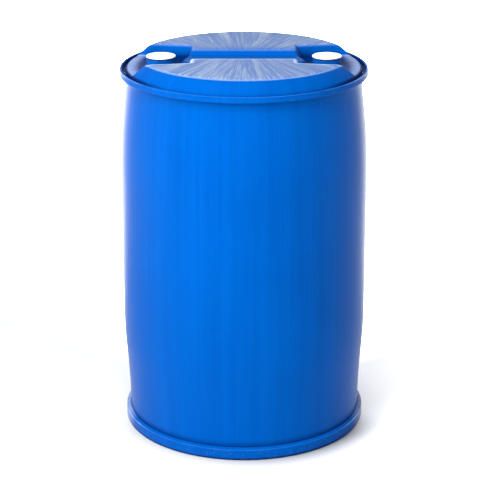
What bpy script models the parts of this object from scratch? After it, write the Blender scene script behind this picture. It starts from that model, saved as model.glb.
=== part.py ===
"""Tight-head plastic drum, 210 litre class, with an L-ring and two sunk bungs.

The origin is at the centre of the base, +Z up. The bungs lie along X, and the
head's two D-shaped plateaus face -Y and +Y. Everything is in metres.
"""
import math

import bmesh
import bpy
from mathutils import Matrix

# ---------------------------------------------------------------- dimensions
DRUM_HEIGHT = 0.904          # base of the foot ring to the plateaus
BODY_MAX_R = 0.2925          # the widest part of the belly
RING_R = 0.2905              # both rings, outside
WALL = 0.0040                # blown wall
GAP = 0.0003                 # between pieces that touch

SEGMENTS = 64                # round the drum
SMALL_SEGMENTS = 36          # round the closures

PLATEAU_R = 0.2430           # outer edge of the flat top
POCKET_FLOOR_Z = 0.8760
GROOVE_FLOOR_Z = 0.8900
GROOVE_HALF_W = 0.0470       # at the plateau's level
POCKET_INNER_X = 0.1218      # at the plateau's level
SPOUT = 0.0122               # how far the groove's floor reaches past it
INNER_LEAN = 0.34            # what the pocket's inner wall leans besides DRAFT
DRAFT = 0.16                 # slope of the recess walls, run over rise
CUT_TOP_Z = 0.9300           # the cutters stand clear of the head

NECK_X = 0.1935              # bung axis, from the drum's axis
NECK_OUT_R = 0.0335
NECK_TOP_Z = 0.8930
NECK_BOTTOM_Z = 0.8640
NECK_COLLAR_R = 0.0420
GASKET_T = 0.0014
FLANGE_T = 0.0027
FLANGE_R = 0.0335
THREAD_L = 0.0190            # how far the plug reaches below its flange
CAP_R = 0.0347
CAP_T = 0.0020

# major radius of each plug's thread: S56x4 buttress on the left, 2 inch pipe
# thread on the right. The neck's bore clears it all the way up.
THREAD_R = {"left": 0.0280, "right": 0.0298}
BORE_CLEARANCE = 0.0005
SOCKET_R = {"left": 0.0235, "right": 0.0250}   # wrench socket in the plug


# Stations up the body wall: height, and how far the wall is drawn in from the
# belly. Between 0.30 and 0.60 it is straight.
BODY_STATIONS = [
    (0.0330, 0.0127), (0.0700, 0.0119), (0.1050, 0.0104), (0.1500, 0.0074),
    (0.1900, 0.0043), (0.2250, 0.0017), (0.2600, 0.0004), (0.3000, 0.0000),
    (0.6000, 0.0000), (0.6450, 0.0005), (0.6850, 0.0018), (0.7250, 0.0040),
    (0.7600, 0.0074), (0.7950, 0.0112), (0.8250, 0.0143), (0.8500, 0.0158),
]


# ------------------------------------------------------------------- helpers
def clear_scene():
    for obj in list(bpy.data.objects):
        bpy.data.objects.remove(obj, do_unlink=True)


def plastic(name, colour, roughness, metallic=0.0):
    mat = bpy.data.materials.new(name)
    mat.use_nodes = True
    shader = mat.node_tree.nodes["Principled BSDF"]
    shader.inputs["Base Color"].default_value = (*colour, 1.0)
    shader.inputs["Roughness"].default_value = roughness
    shader.inputs["Metallic"].default_value = metallic
    return mat


def new_object(name, bm, material=None, location=(0.0, 0.0, 0.0), sharp=32.0):
    bmesh.ops.recalc_face_normals(bm, faces=bm.faces[:])
    mesh = bpy.data.meshes.new(name)
    bm.to_mesh(mesh)
    bm.free()
    obj = bpy.data.objects.new(name, mesh)
    obj.location = location
    bpy.context.scene.collection.objects.link(obj)
    mesh.shade_smooth()
    mesh.set_sharp_from_angle(angle=math.radians(sharp))
    if material is not None:
        mesh.materials.append(material)
    return obj


def turned(name, profile, segments, material=None, location=(0.0, 0.0, 0.0),
           closed=True):
    """Spin a profile of (radius, z) points round Z.

    A closed profile makes a ring. An open one starts and ends on the axis.
    """
    bm = bmesh.new()
    verts = [bm.verts.new((r, 0.0, z)) for r, z in profile]
    edges = [bm.edges.new(pair) for pair in zip(verts, verts[1:])]
    if closed:
        edges.append(bm.edges.new((verts[-1], verts[0])))
    bmesh.ops.spin(bm, geom=verts + edges, cent=(0, 0, 0), axis=(0, 0, 1),
                   angle=2.0 * math.pi, steps=segments, use_merge=True,
                   use_duplicate=False)
    bmesh.ops.remove_doubles(bm, verts=bm.verts[:], dist=1e-6)
    return new_object(name, bm, material, location)


def offset(points, distance):
    """Shift an open polyline sideways, to its right, with mitred corners."""
    normals = []
    for (x0, y0), (x1, y1) in zip(points, points[1:]):
        length = math.hypot(x1 - x0, y1 - y0)
        normals.append(((y1 - y0) / length, -(x1 - x0) / length))
    out = []
    for i, (x, y) in enumerate(points):
        a = normals[max(i - 1, 0)]
        b = normals[min(i, len(normals) - 1)]
        scale = distance / (1.0 + a[0] * b[0] + a[1] * b[1])
        out.append((x + (a[0] + b[0]) * scale, y + (a[1] + b[1]) * scale))
    return out


def inner_share(x):
    """1 at the pocket's inner wall, falling to 0 towards the bung."""
    return min(1.0, max(0.0, (0.1900 - abs(x)) / 0.0550))


def drafted_cutter(name, outline, floor_z, grow=0.0, drop=0.0, lean=0.0):
    """A recess cutter: the outline holds at the plateau's level, and the
    walls lean out above it and in below it by the draft. The wall nearest
    the middle of the head can lean more."""
    bm = bmesh.new()
    low_z = floor_z - drop
    loops = []
    for z in (low_z, CUT_TOP_Z):
        shift = grow + (z + drop - DRUM_HEIGHT) * DRAFT
        ring = offset(outline + outline[:2], shift)[1:-1]
        more = lean * (DRUM_HEIGHT - z - drop)
        plan = outline[1:] + outline[:1]
        loops.append([
            bm.verts.new((x + math.copysign(more, px) * inner_share(px), y, z))
            for (x, y), (px, py) in zip(ring, plan)])
    low, high = loops
    bm.faces.new(list(reversed(low)))
    bm.faces.new(high)
    count = len(low)
    for i in range(count):
        j = (i + 1) % count
        bm.faces.new((low[i], low[j], high[j], high[i]))
    return as_cutter(new_object(name, bm))


def as_cutter(obj):
    obj.hide_render = True
    obj.display_type = "WIRE"
    return obj


def boolean(obj, tool, operation="DIFFERENCE"):
    mod = obj.modifiers.new(operation.lower() + "_" + tool.name, "BOOLEAN")
    mod.operation = operation
    mod.solver = "EXACT"
    mod.object = tool


def peg(name, radius, z0, z1, x, y=0.0, segments=SMALL_SEGMENTS):
    obj = turned(name, [(0.0, z0), (radius, z0), (radius, z1), (0.0, z1)],
                 segments, location=(x, y, 0.0), closed=False)
    return as_cutter(obj)


# -------------------------------------------------------------- the profiles
def outer_profile(rounded=True):
    """Section of the shell's outside, from the middle of the base to the
    middle of the head. Without the rounding it has one point a corner."""
    base = [(0.0, 0.0140), (0.1500, 0.0125), (0.2150, 0.0090),
            (0.2530, 0.0045)]
    if rounded:
        base += [(0.2640, 0.0040), (0.2725, 0.0060), (0.2780, 0.0115),
                 (0.2798, 0.0200)]
    else:
        base += [(0.2690, 0.0048), (0.2790, 0.0135)]
    side = [(BODY_MAX_R - drawn_in, z) for z, drawn_in in BODY_STATIONS]
    head = [(0.2767, 0.8690)]
    if rounded:
        head += [(0.2755, 0.8738)]
    head += [(0.2715, 0.8785), (0.2560, 0.8945), (0.2480, 0.9015),
             (PLATEAU_R, DRUM_HEIGHT), (0.0, DRUM_HEIGHT)]
    return base + side + head


def cavity_profile():
    """The same section, one wall thickness in."""
    inside = offset(outer_profile(rounded=False), -WALL)
    return [(0.0, inside[0][1])] + inside[1:-1] + [(0.0, inside[-1][1])]


def pocket_outline(side):
    """Plan of one bung pocket at the plateau's level, open at the rim."""
    half = [(POCKET_INNER_X + SPOUT, 0.0),
            (POCKET_INNER_X + 0.81 * SPOUT, 0.0125),
            (POCKET_INNER_X + 0.41 * SPOUT, 0.0240),
            (POCKET_INNER_X + 0.06 * SPOUT, 0.0350),
            (POCKET_INNER_X, 0.0440), (POCKET_INNER_X, 0.0810),
            (0.1245, 0.0868), (0.1320, 0.0905), (0.1550, 0.0948),
            (0.1800, 0.0995), (0.2050, 0.1035), (0.2350, 0.1045),
            (0.3300, 0.1030)]
    plan = [(x, -y) for x, y in reversed(half)] + half[1:]
    plan.reverse()                                     # counter-clockwise
    if side < 0:
        plan = [(-x, y) for x, y in reversed(plan)]
    return plan


def groove_outline():
    length = 0.1500
    return [(-length, -GROOVE_HALF_W), (length, -GROOVE_HALF_W),
            (length, GROOVE_HALF_W), (-length, GROOVE_HALF_W)]


# ----------------------------------------------------------------- the shell
def build_shell(material):
    shell = turned("drum_shell", outer_profile(), SEGMENTS, material,
                   closed=False)
    cavity = as_cutter(turned("cut_cavity", cavity_profile(), SEGMENTS,
                              closed=False))
    for name, side in (("left", -1), ("right", 1)):
        plan = pocket_outline(side)
        boolean(shell, drafted_cutter("cut_pocket_" + name, plan,
                                      POCKET_FLOOR_Z, lean=INNER_LEAN))
        boolean(cavity, drafted_cutter("cut_pocket_wall_" + name, plan,
                                       POCKET_FLOOR_Z, grow=WALL, drop=WALL,
                                       lean=INNER_LEAN))
    boolean(shell, drafted_cutter("cut_groove", groove_outline(),
                                  GROOVE_FLOOR_Z))
    boolean(cavity, drafted_cutter("cut_groove_wall", groove_outline(),
                                   GROOVE_FLOOR_Z, grow=WALL, drop=WALL))
    boolean(shell, cavity)
    for name, side in (("left", -1), ("right", 1)):
        boolean(shell, peg("cut_hole_" + name, NECK_OUT_R + GAP, 0.850,
                           0.890, side * NECK_X))
    return shell


def build_top_ring(material):
    """L-shaped section: a web that grows out of the body and an upright
    lip, with a gap behind it for the jaws of a lifting grab."""
    inner = 0.2767 + GAP
    section = [(inner, 0.8600), (0.2892, 0.8600), (RING_R, 0.8613),
               (RING_R, 0.8733), (0.2893, 0.8745), (0.2856, 0.8745),
               (0.2845, 0.8733), (0.2832, 0.8662), (0.2818, 0.8650),
               (inner, 0.8650)]
    return turned("top_l_ring", section, SEGMENTS, material)


def build_bottom_ring(material):
    """A boot round the lower corner of the body. It carries the drum."""
    corner = [p for p in outer_profile() if 0.250 < p[0] and p[1] <= 0.0330]
    inside = offset(corner, GAP)
    inside[0] = (0.2560, inside[0][1] - 0.0002)
    inside[-1] = (inside[-1][0], 0.0315)
    section = [(0.2560, 0.0), (0.2885, 0.0), (RING_R, 0.0020),
               (RING_R, 0.0243), (0.2888, 0.0262), (0.2815, 0.0315)]
    section += list(reversed(inside))
    return turned("bottom_ring", section, SEGMENTS, material)


# -------------------------------------------------------------- the closures
def build_closure(name, side, blue, rubber, white):
    x = side * NECK_X
    thread_r = THREAD_R[name]
    bore_r = thread_r + BORE_CLEARANCE
    socket_r = SOCKET_R[name]

    # neck: a threaded tube through the pocket's floor, held by a collar
    # under the wall. It is plain here, at the thread's outer radius.
    wall_under = POCKET_FLOOR_Z - WALL
    neck = [(bore_r, NECK_BOTTOM_Z), (NECK_OUT_R, NECK_BOTTOM_Z),
            (NECK_COLLAR_R, NECK_BOTTOM_Z + 0.0025),
            (NECK_COLLAR_R, wall_under - GAP),
            (NECK_OUT_R, wall_under - GAP),
            (NECK_OUT_R, NECK_TOP_Z - 0.0008),
            (NECK_OUT_R - 0.0008, NECK_TOP_Z), (bore_r, NECK_TOP_Z)]
    turned("neck_" + name, neck, SMALL_SEGMENTS, blue, (x, 0, 0))

    # gasket: a flat ring between the neck's rim and the plug's flange
    g0 = NECK_TOP_Z + GAP
    g1 = g0 + GASKET_T
    gasket = [(thread_r + 0.0004, g0), (0.0328, g0), (0.0328, g1),
              (thread_r + 0.0004, g1)]
    turned("gasket_" + name, gasket, SMALL_SEGMENTS, rubber, (x, 0, 0))

    # the plug's axis is the joint's axis, so its pieces hang from an empty
    # on it, at the level of the neck's rim
    axis = bpy.data.objects.new("axis_" + name, None)
    axis.location = (x, 0.0, NECK_TOP_Z)
    bpy.context.scene.collection.objects.link(axis)

    f0 = g1 + GAP - NECK_TOP_Z                         # above the rim
    f1 = f0 + FLANGE_T
    foot = f0 - THREAD_L
    floor = foot + 0.0050
    section = [(0.0, floor - 0.0028), (socket_r + 0.0006, floor - 0.0028),
               (socket_r + 0.0012, foot), (thread_r - 0.0010, foot),
               (thread_r, foot + 0.0012), (thread_r, f0),
               (FLANGE_R, f0), (FLANGE_R, f1 - 0.0005),
               (FLANGE_R - 0.0005, f1), (socket_r, f1),
               (socket_r - 0.0003, floor), (0.0, floor)]
    plug = turned("plug_" + name, section, SMALL_SEGMENTS, blue,
                  closed=False)
    # four lugs in the socket, for the bung wrench
    lug_h = 0.0082
    lug_in, lug_out, lug_w = 0.0150, socket_r + 0.0008, 0.0060
    for i in range(4):
        bm = bmesh.new()
        bmesh.ops.create_cube(bm, size=1.0)
        bmesh.ops.scale(bm, vec=(lug_out - lug_in, lug_w, lug_h),
                        verts=bm.verts[:])
        bmesh.ops.translate(
            bm, vec=((lug_in + lug_out) / 2, 0.0,
                     floor - 0.0010 + lug_h / 2), verts=bm.verts[:])
        bmesh.ops.rotate(bm, cent=(0, 0, 0), verts=bm.verts[:],
                         matrix=Matrix.Rotation(
                             math.radians(45 + 90 * i), 3, "Z"))
        lug = as_cutter(new_object("lug_%s_%d" % (name, i), bm))
        lug.parent = axis
        boolean(plug, lug, "UNION")
    plug.parent = axis

    # cap: a flat disc over the plug, with a snap ring that presses into
    # the plug's socket
    c0 = f1 + GAP
    c1 = c0 + CAP_T
    ring_out = socket_r - 0.0004
    ring_in = ring_out - 0.0014
    cap = [(0.0, c0), (ring_in, c0), (ring_in, c0 - 0.0044),
           (ring_out - 0.0004, c0 - 0.0044), (ring_out, c0 - 0.0037),
           (ring_out, c0), (CAP_R, c0), (CAP_R, c1 - 0.0007),
           (CAP_R - 0.0007, c1), (0.0, c1)]
    disc = turned("cap_" + name, cap, SMALL_SEGMENTS, white, closed=False)
    disc.parent = axis
    return axis


def main():
    clear_scene()
    blue = plastic("blue_hdpe", (0.004, 0.135, 0.700), 0.42)
    ring_blue = plastic("ring_hdpe", (0.004, 0.120, 0.640), 0.45)
    neck_blue = plastic("neck_hdpe", (0.004, 0.110, 0.600), 0.38)
    white = plastic("white_pe", (0.900, 0.905, 0.900), 0.35)
    rubber = plastic("epdm", (0.020, 0.020, 0.022), 0.70)

    build_shell(blue)
    build_top_ring(ring_blue)
    build_bottom_ring(ring_blue.copy())
    for name, side in (("left", -1), ("right", 1)):
        build_closure(name, side, neck_blue, rubber, white)


main()
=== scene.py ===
import math

import bmesh
import bpy
import numpy as np
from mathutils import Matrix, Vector


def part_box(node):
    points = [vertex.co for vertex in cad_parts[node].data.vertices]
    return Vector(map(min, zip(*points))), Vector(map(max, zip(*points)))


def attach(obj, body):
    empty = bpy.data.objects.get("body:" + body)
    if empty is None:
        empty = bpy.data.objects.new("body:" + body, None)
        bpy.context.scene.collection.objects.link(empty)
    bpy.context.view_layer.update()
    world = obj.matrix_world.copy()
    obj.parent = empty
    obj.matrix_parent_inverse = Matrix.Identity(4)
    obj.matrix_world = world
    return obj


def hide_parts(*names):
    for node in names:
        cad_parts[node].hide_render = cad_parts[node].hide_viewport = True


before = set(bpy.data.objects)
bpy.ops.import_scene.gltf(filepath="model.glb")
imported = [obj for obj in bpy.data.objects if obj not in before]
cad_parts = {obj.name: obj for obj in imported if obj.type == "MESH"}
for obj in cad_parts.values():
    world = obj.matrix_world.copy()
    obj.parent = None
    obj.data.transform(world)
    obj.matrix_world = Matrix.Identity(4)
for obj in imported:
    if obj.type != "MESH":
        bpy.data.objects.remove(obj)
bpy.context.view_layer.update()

# ------------------------------------------------------------------ sizes
# Read from the frame where the frame holds them.
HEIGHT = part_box("drum_shell")[1].z                   # the plateaus' level
RING_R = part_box("top_l_ring")[1].x
BELLY_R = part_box("drum_shell")[1].x - 0.0003         # leaves room for the parting line
NECK_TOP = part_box("neck_left")[1].z
NECK_X = {s: (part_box("neck_" + s)[0].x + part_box("neck_" + s)[1].x) / 2
          for s in ("left", "right")}
THREAD_R = {"left": 0.0280, "right": 0.0298}
PITCH = {"left": 0.0040, "right": 0.002309}
SOCKET_R = {"left": 0.0235, "right": 0.0250}
WALL = 0.0040
GAP = 0.0003
POCKET_FLOOR = 0.8760
GROOVE_FLOOR = 0.8900
GROOVE_HALF = 0.0470
POCKET_INNER = 0.1218
SPOUT = 0.0122
INNER_SLOPE = 0.50
DRAFT = 0.16
BODY = [(0.0330, 0.0127), (0.0700, 0.0119), (0.1050, 0.0104), (0.1500, 0.0074),
        (0.1900, 0.0043), (0.2250, 0.0017), (0.2600, 0.0004), (0.3000, 0.0),
        (0.6000, 0.0), (0.6450, 0.0005), (0.6850, 0.0018), (0.7250, 0.0040),
        (0.7600, 0.0074), (0.7950, 0.0112), (0.8250, 0.0143), (0.8500, 0.0158)]


# ------------------------------------------------------- mesh building blocks
def mesh_object(name, verts, faces, material, smooth=True, sharp=50.0):
    mesh = bpy.data.meshes.new(name)
    mesh.from_pydata(np.asarray(verts, float).tolist(), [], faces)
    mesh.update()
    if smooth:
        mesh.shade_smooth()
        mesh.set_sharp_from_angle(angle=math.radians(sharp))
    if material is not None:
        mesh.materials.append(material)
    obj = bpy.data.objects.new(name, mesh)
    bpy.context.scene.collection.objects.link(obj)
    return obj


def rows_to_mesh(rows, closed, start=None, end=None):
    """rows: an (m, n, 3) grid whose n columns go round. closed joins the
    last row to the first; start and end are pole points. Faces point out
    when the rows run up the outside, counter-clockwise seen from above."""
    m, n, _ = rows.shape
    verts = rows.reshape(-1, 3)
    i = np.arange(m if closed else m - 1)
    j = np.arange(n)
    I, J = np.meshgrid(i, j, indexing="ij")
    I2, J2 = (I + 1) % m, (J + 1) % n
    quads = np.stack([I * n + J, I * n + J2, I2 * n + J2, I2 * n + J], -1)
    faces = quads.reshape(-1, 4).tolist()
    extra = []
    if start is not None:
        k = len(verts) + len(extra)
        extra.append(start)
        faces += [(k, (c + 1) % n, c) for c in range(n)]
    if end is not None:
        k = len(verts) + len(extra)
        extra.append(end)
        base = (m - 1) * n
        faces += [(k, base + c, base + (c + 1) % n) for c in range(n)]
    if extra:
        verts = np.vstack([verts, np.array(extra, float)])
    return verts, faces


def spin_rows(profile, angles):
    """profile: (r, z) pairs, each a number or one value per angle."""
    c, s = np.cos(angles), np.sin(angles)
    out = np.empty((len(profile), len(angles), 3))
    for k, (r, z) in enumerate(profile):
        out[k, :, 0] = r * c
        out[k, :, 1] = r * s
        out[k, :, 2] = z
    return out


def rounded(points, steps=5, closed=True):
    """A polyline of (x, y, corner radius) with its corners rounded."""
    out = []
    n = len(points)
    for i in range(n):
        p = Vector(points[i][:2])
        rad = points[i][2] if len(points[i]) > 2 else 0.0
        if rad <= 0.0 or (not closed and i in (0, n - 1)):
            out.append((p.x, p.y))
            continue
        a = (Vector(points[i - 1][:2]) - p)
        b = (Vector(points[(i + 1) % n][:2]) - p)
        la, lb = a.length, b.length
        a.normalize()
        b.normalize()
        half = a.angle(b) / 2
        reach = min(rad / math.tan(half), la * 0.48, lb * 0.48)
        r = reach * math.tan(half)
        centre = p + (a + b).normalized() * (r / math.sin(half))
        t0 = p + a * reach - centre
        t1 = p + b * reach - centre
        turn = math.atan2(t0.x * t1.y - t0.y * t1.x, t0.dot(t1))
        for k in range(steps + 1):
            w = turn * k / steps
            out.append((centre.x + t0.x * math.cos(w) - t0.y * math.sin(w),
                        centre.y + t0.x * math.sin(w) + t0.y * math.cos(w)))
    return out


def outward(obj):
    bm = bmesh.new()
    bm.from_mesh(obj.data)
    bmesh.ops.recalc_face_normals(bm, faces=bm.faces[:])
    bm.to_mesh(obj.data)
    bm.free()
    return obj


def apply_modifiers(obj):
    dg = bpy.context.evaluated_depsgraph_get()
    mesh = bpy.data.meshes.new_from_object(obj.evaluated_get(dg))
    obj.modifiers.clear()
    old = obj.data
    obj.data = mesh
    bpy.data.meshes.remove(old)
    return obj


def even_angles(n):
    return np.arange(n) * 2.0 * math.pi / n


# --------------------------------------------------------------- node helper
class Nodes:
    """Short calls for building a material's node tree."""

    def __init__(self, name):
        self.mat = bpy.data.materials.new(name)
        self.mat.use_nodes = True
        self.tree = self.mat.node_tree
        self.shader = self.tree.nodes["Principled BSDF"]

    def new(self, kind, **values):
        node = self.tree.nodes.new(kind)
        for key, value in values.items():
            if key.startswith("_"):
                setattr(node, key[1:], value)
            else:
                self.put(node.inputs[key.replace("__", " ")], value)
        return node

    def put(self, socket, value):
        if isinstance(value, bpy.types.NodeSocket):
            self.tree.links.new(value, socket)
        elif isinstance(value, tuple) and len(value) == 3 and socket.type == "RGBA":
            socket.default_value = (*value, 1.0)
        else:
            socket.default_value = value

    def math(self, op, a, b=None, c=None, clamp=False):
        node = self.tree.nodes.new("ShaderNodeMath")
        node.operation = op
        node.use_clamp = clamp
        for k, v in enumerate((a, b, c)):
            if v is not None:
                self.put(node.inputs[k], v)
        return node.outputs[0]

    def vec(self, op, a, b=None, scale=None):
        node = self.tree.nodes.new("ShaderNodeVectorMath")
        node.operation = op
        self.put(node.inputs[0], a)
        if b is not None:
            self.put(node.inputs[1], b)
        if scale is not None:
            self.put(node.inputs["Scale"], scale)
        return node.outputs[0]

    def combine(self, x, y, z):
        node = self.tree.nodes.new("ShaderNodeCombineXYZ")
        for k, v in enumerate((x, y, z)):
            self.put(node.inputs[k], v)
        return node.outputs[0]

    def noise(self, vector, scale=1.0, detail=3.0, rough=0.5, distort=0.0):
        node = self.tree.nodes.new("ShaderNodeTexNoise")
        self.put(node.inputs["Vector"], vector)
        node.inputs["Scale"].default_value = scale
        node.inputs["Detail"].default_value = detail
        node.inputs["Roughness"].default_value = rough
        node.inputs["Distortion"].default_value = distort
        return node.outputs["Fac"]

    def ramp(self, value, lo, hi, to_lo=0.0, to_hi=1.0, smooth=True):
        node = self.tree.nodes.new("ShaderNodeMapRange")
        node.interpolation_type = "SMOOTHSTEP" if smooth else "LINEAR"
        self.put(node.inputs["Value"], value)
        node.inputs["From Min"].default_value = lo
        node.inputs["From Max"].default_value = hi
        node.inputs["To Min"].default_value = to_lo
        node.inputs["To Max"].default_value = to_hi
        return node.outputs["Result"]

    def mix(self, fac, a, b):
        node = self.tree.nodes.new("ShaderNodeMix")
        node.data_type = "RGBA"
        node.clamp_factor = True
        self.put(node.inputs[0], fac)
        self.put(node.inputs[6], a)
        self.put(node.inputs[7], b)
        return node.outputs[2]

    def add(self, *values):
        out = values[0]
        for v in values[1:]:
            out = self.math("ADD", out, v)
        return out

    def bump(self, height, distance, strength=1.0, normal=None):
        node = self.tree.nodes.new("ShaderNodeBump")
        self.put(node.inputs["Height"], height)
        node.inputs["Distance"].default_value = distance
        node.inputs["Strength"].default_value = strength
        if normal is not None:
            self.put(node.inputs["Normal"], normal)
        return node.outputs["Normal"]

    def coords(self):
        """Object position, its parts, and the direction round the axis."""
        pos = self.tree.nodes.new("ShaderNodeTexCoord").outputs["Object"]
        sep = self.new("ShaderNodeSeparateXYZ", Vector=pos)
        x, y, z = sep.outputs
        flat = self.combine(x, y, 0.0)
        length = self.tree.nodes.new("ShaderNodeVectorMath")
        length.operation = "LENGTH"
        self.put(length.inputs[0], flat)
        unit = self.vec("NORMALIZE", flat)
        return pos, x, y, z, length.outputs["Value"], unit

    def around(self, unit, k, z, kz):
        """A seamless vector: k features a radian, kz features a metre."""
        turned = self.vec("SCALE", unit, scale=k)
        up = self.combine(0.0, 0.0, self.math("MULTIPLY", z, kz))
        return self.vec("ADD", turned, up)

    def finish(self, colour, roughness, normal, ior=1.5, specular=0.05, sheen=0.0,
               tint=(0.0, 0.30, 1.0)):
        self.put(self.shader.inputs["Base Color"], colour)
        self.put(self.shader.inputs["Roughness"], roughness)
        self.put(self.shader.inputs["Normal"], normal)
        self.shader.inputs["IOR"].default_value = ior
        self.shader.inputs["Specular IOR Level"].default_value = specular
        self.shader.inputs["Specular Tint"].default_value = (*tint, 1.0)
        if sheen:
            self.shader.inputs["Sheen Weight"].default_value = sheen
            self.shader.inputs["Sheen Roughness"].default_value = 0.20
            self.shader.inputs["Sheen Tint"].default_value = (0.80, 0.88, 1.0, 1.0)
        return self.mat


BLUE = (0.0000, 0.072, 0.335)
BLUE_DEEP = (0.0000, 0.060, 0.292)
BLUE_PALE = (0.0100, 0.105, 0.400)
# the next three colours are painted highlights and painted reflection; the one after them is
# painted shade
RING_END_HIGHLIGHT = (0.3400, 0.470, 0.700)
EDGE_HIGHLIGHT = (0.4000, 0.550, 0.820)
END_REFLECTION_PALE = (0.3000, 0.370, 0.560)
SHADE_NAVY = (0.0000, 0.004, 0.055)
CHALK = (0.300, 0.372, 0.475)


CROWN_R = 0.2447             # where the shoulder meets the flats
SCRATCHES = [(-0.088, 0.182, -0.074, 0.100, 0.0016), (-0.122, 0.150, -0.112, 0.108, 0.0012),
             (0.066, 0.176, 0.100, 0.126, 0.0014), (0.040, 0.140, 0.062, 0.112, 0.0012),
             (-0.022, 0.205, -0.014, 0.120, 0.0009), (-0.060, -0.090, -0.085, -0.190, 0.0010),
             (0.072, -0.120, 0.118, -0.185, 0.0010)]


def shell_material():
    """Blow-moulded HDPE: draw streaks up the wall, a faint orange peel, and a
    head that has been scuffed outwards from its middle. Its flats also carry
    painted reflection, its edges painted highlights, and its pockets, the gap
    under the ring and the wall above the foot painted shade."""
    n = Nodes("blown_hdpe")
    pos, x, y, z, r, unit = n.coords()
    cloud = n.noise(pos, 4.0, 4.0, 0.55)
    wide = n.noise(n.around(unit, 9.0, z, 0.9), 1.0, 3.0, 0.55)
    streak = n.noise(n.around(unit, 46.0, z, 1.6), 1.0, 4.0, 0.6)
    fine = n.noise(n.around(unit, 170.0, z, 4.0), 1.0, 2.0, 0.55)
    peel = n.noise(pos, 420.0, 2.0, 0.5)
    pebble = n.noise(pos, 1500.0, 2.0, 0.6)

    # the flats of the head, by their distance in from their own edges
    ay, ax = n.math("ABSOLUTE", y), n.math("ABSOLUTE", x)
    pocket = n.new("ShaderNodeAttribute", _attribute_name="pocket_edge").outputs["Fac"]
    from_groove = n.math("SUBTRACT", ay, GROOVE_HALF)
    from_rim = n.math("SUBTRACT", CROWN_R, r)
    inset = n.math("MINIMUM", n.math("MINIMUM", from_groove, pocket), from_rim)
    high = n.ramp(z, HEIGHT - 0.0060, HEIGHT - 0.0030)
    flat_top = n.math("MULTIPLY", n.ramp(inset, 0.0002, 0.0020), high)
    # painted highlight lines along the flats' edges, brightest at the front
    within = n.math("MINIMUM", from_groove, pocket)
    reach = n.ramp(y, -0.010, 0.010, 0.0095, 0.0014)
    line = n.math("MULTIPLY", n.ramp(within, -0.0042, -0.0014),
                  n.math("SUBTRACT", 1.0, n.ramp(n.math("DIVIDE", within, reach), 0.65, 1.0)))
    line = n.math("MULTIPLY", line, n.ramp(from_rim, -0.0060, -0.0020))
    rim_line = n.math("MULTIPLY", n.ramp(from_rim, -0.0042, -0.0014),
                      n.math("SUBTRACT", 1.0, n.ramp(from_rim, 0.0008, 0.0022)))
    rim_line = n.math("MULTIPLY", rim_line, n.ramp(within, -0.0020, 0.0020, 0.0, 0.40))
    line = n.math("MAXIMUM", line, rim_line)
    line_breakup = n.ramp(n.noise(n.around(unit, 40.0, r, 40.0), 1.0, 3.0, 0.6), 0.30, 0.60,
                    0.72, 1.0)
    edge = n.math("MULTIPLY", n.math("MULTIPLY", line, high), line_breakup)
    edge = n.math("MULTIPLY", edge, n.ramp(y, -0.010, 0.010, 0.85, 0.12))
    # painted highlight along the recesses' side edges where they run down the shoulder, and
    # painted reflection on the pale ends of the recesses, out by the ring
    side_edge = n.math("ADD", pocket, n.math("MULTIPLY", n.math("SUBTRACT", HEIGHT, z), DRAFT))
    down = n.math("MULTIPLY",
                  n.math("SUBTRACT", 1.0, n.ramp(n.math("ABSOLUTE", side_edge), 0.0009, 0.0030)),
                  n.math("MULTIPLY", n.ramp(r, 0.222, 0.236),
                         n.math("SUBTRACT", 1.0, n.ramp(r, 0.262, 0.272))))
    out = n.math("SUBTRACT", r, 0.2430)
    level = n.math("SUBTRACT", n.math("SUBTRACT", 0.9052, n.math("MULTIPLY", out, 0.70)),
                   n.math("MULTIPLY", n.math("MULTIPLY", out, out), 8.2))
    drop = n.math("SUBTRACT", n.math("MINIMUM", level, HEIGHT), z)
    down = n.math("MULTIPLY", down, n.math("SUBTRACT", 1.0, n.ramp(drop, 0.0012, 0.0038)))
    down = n.math("MULTIPLY", down, n.ramp(y, -0.010, 0.010, 0.85, 0.0))
    down = n.math("MULTIPLY", down, n.ramp(z, 0.8735, 0.8760))
    ragged = n.add(r, n.math("MULTIPLY", n.math(
        "SUBTRACT", n.noise(n.around(unit, 34.0, r, 60.0), 1.0, 4.0, 0.65), 0.5), 0.030))
    ends = n.math("MULTIPLY", n.math("SUBTRACT", 1.0, n.ramp(side_edge, -0.004, 0.001)),
                  n.math("MULTIPLY", n.ramp(ragged, 0.240, 0.266),
                         n.math("SUBTRACT", 1.0, n.ramp(z, 0.8775, 0.8800))))
    ends = n.math("MULTIPLY", ends, n.math("MULTIPLY", n.ramp(z, 0.8738, 0.8752),
                                           n.math("SUBTRACT", 1.0, n.ramp(r, 0.2700, 0.2725))))
    end_reflection_streaks = n.ramp(n.noise(n.around(unit, 70.0, r, 30.0), 1.0, 3.0, 0.6), 0.25, 0.65, 0.45, 0.95)
    ends = n.math("MULTIPLY", ends, end_reflection_streaks)
    # brushed outwards from beyond the middle
    back = n.math("ADD", y, n.math("MULTIPLY", n.math("SIGN", y), 0.075))
    fan = n.vec("NORMALIZE", n.combine(x, back, 0.0))
    brush_a = n.noise(n.around(fan, 30.0, r, 5.0), 1.0, 3.0, 0.60)
    brush_b = n.noise(n.around(fan, 88.0, r, 9.0), 1.0, 3.0, 0.60)
    brush_c = n.noise(n.around(fan, 9.0, r, 4.0), 1.0, 2.0, 0.50)
    brush_d = n.noise(n.around(fan, 260.0, r, 12.0), 1.0, 2.0, 0.55)
    brushed = n.add(n.math("MULTIPLY", brush_a, 0.30),
                    n.math("MULTIPLY", brush_b, 0.38),
                    n.math("MULTIPLY", brush_c, 0.14),
                    n.math("MULTIPLY", brush_d, 0.18))
    bright = n.ramp(brushed, 0.450, 0.580)
    glint = n.ramp(n.noise(n.around(fan, 62.0, r, 7.0), 1.0, 3.0, 0.65), 0.60, 0.72)
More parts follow.
